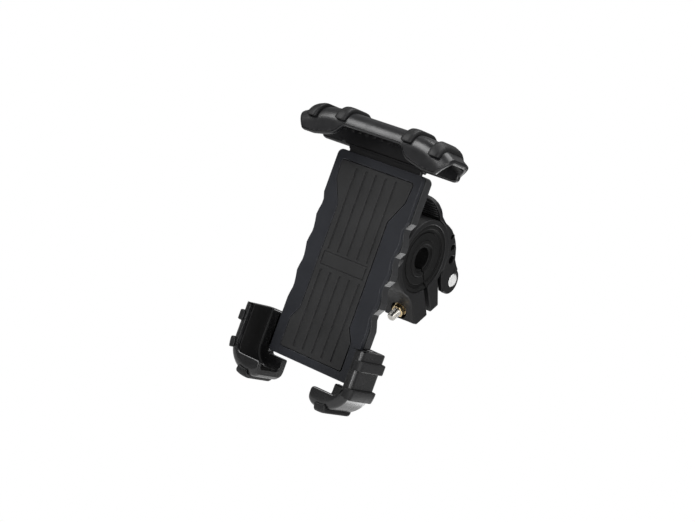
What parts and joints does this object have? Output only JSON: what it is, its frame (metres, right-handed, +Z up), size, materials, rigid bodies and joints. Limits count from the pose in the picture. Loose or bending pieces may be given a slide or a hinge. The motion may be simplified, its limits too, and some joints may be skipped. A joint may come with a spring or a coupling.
{
  "type": "phone mount",
  "caption": "Handlebar phone mount: split clamp ring with a cam lever and rubber inserts, ball joint with collar nut, and a flat holder with a sprung top jaw and corner claws.",
  "frame": {"origin": "centre of the handlebar bore, midway along the clamp", "axes": "+X along the handlebar, +Z up the holder, -Y towards the rider, out of the phone pad"},
  "size_m": [0.096, 0.1161, 0.1484],
  "materials": {
    "frame_plastic": "satin moulded ABS",
    "cover_plastic": "fine-textured blue-grey ABS",
    "shell_plastic": "fine-textured dark grey ABS",
    "pad_rubber": "ribbed silicone",
    "band_rubber": "matt silicone",
    "liner_rubber": "matt silicone",
    "clamp_plastic": "matt glass-filled nylon",
    "lever_plastic": "matt glass-filled nylon",
    "collar_plastic": "matt glass-filled nylon",
    "insert_rubber": "matt rubber",
    "ball_aluminium": "black anodised",
    "zinc_steel": "zinc plated",
    "pin_steel": "turned, bright",
    "spring_steel": "drawn wire",
    "nut_brass": "turned",
    "white_nylon": "natural nylon"
  },
  "bodies": {
    "clamp": {"clamp_ring": "clamp_plastic", "ball_stud": "ball_aluminium", "stud_screw": "zinc_steel", "outer_insert": "insert_rubber", "middle_insert": "insert_rubber", "inner_insert": "insert_rubber", "clamp_bolt": "zinc_steel", "lever_pin": "pin_steel", "cam_washer": "clamp_plastic"},
    "nut": {"clamp_nut": "nut_brass"},
    "lever": {"cam_lever": "lever_plastic"},
    "joint_liner": {"ball_liner": "white_nylon"},
    "collar": {"collar_nut": "collar_plastic"},
    "holder": {"front_cover": "cover_plastic", "front_pad": "pad_rubber", "rear_shell": "shell_plastic", "ball_socket": "shell_plastic", "shell_screws": "zinc_steel", "left_jaw_spring": "spring_steel", "right_jaw_spring": "spring_steel", "claw_spring": "spring_steel"},
    "jaw": {"top_jaw": "frame_plastic", "top_jaw_liner": "liner_rubber", "top_jaw_bands": "band_rubber"},
    "left_corner": {"left_claw": "frame_plastic", "left_claw_liner": "liner_rubber", "left_claw_bands": "band_rubber"},
    "right_corner": {"right_claw": "frame_plastic", "right_claw_liner": "liner_rubber", "right_claw_bands": "band_rubber"},
    "pinion": {"claw_pinion": "white_nylon"}
  },
  "joints": [
    {"name": "tilt", "type": "hinge", "parent": "clamp", "child": "joint_liner", "pos_m": [0, -0.0336, 0], "axis": [1, 0, 0], "range_deg": [-12, 12]},
    {"name": "swivel", "type": "hinge", "parent": "joint_liner", "child": "collar", "pos_m": [0, -0.0336, 0], "axis": [0, 0, 1], "range_deg": [-12, 12]},
    {"name": "roll", "type": "hinge", "parent": "collar", "child": "holder", "pos_m": [0, -0.0336, 0], "axis": [0, 1, 0], "continuous": true},
    {"name": "jaw_slide", "type": "slide", "parent": "holder", "child": "jaw", "axis": [0, 0, 1], "range_m": [0, 0.03], "stiffness_N_per_m": 300, "springref_m": -0.01, "deforming": ["left_jaw_spring", "right_jaw_spring"]},
    {"name": "left_claw_slide", "type": "slide", "parent": "holder", "child": "left_corner", "axis": [-1, 0, 0], "range_m": [0, 0.008], "stiffness_N_per_m": 400, "springref_m": -0.006},
    {"name": "right_claw_slide", "type": "slide", "parent": "holder", "child": "right_corner", "axis": [1, 0, 0], "range_m": [0, 0.008]},
    {"name": "pinion_spin", "type": "hinge", "parent": "holder", "child": "pinion", "pos_m": [0, -0.051, -0.061], "axis": [0, -1, 0], "range_deg": [0, 144]},
    {"name": "lever_swing", "type": "hinge", "parent": "clamp", "child": "lever", "pos_m": [0, 0.0361, -0.00653], "axis": [-1, 0, 0], "range_deg": [0, 150]},
    {"name": "nut_spin", "type": "hinge", "parent": "clamp", "child": "nut", "pos_m": [0, 0.01014, -0.03031], "axis": [0, 0.7373, 0.6756], "continuous": true}
  ],
  "couplings": [
    {"joint": "right_claw_slide", "follows": "left_claw_slide", "ratio": 1},
    {"joint": "pinion_spin", "follows": "left_claw_slide", "rad_per_m": 312.5}
  ]
}
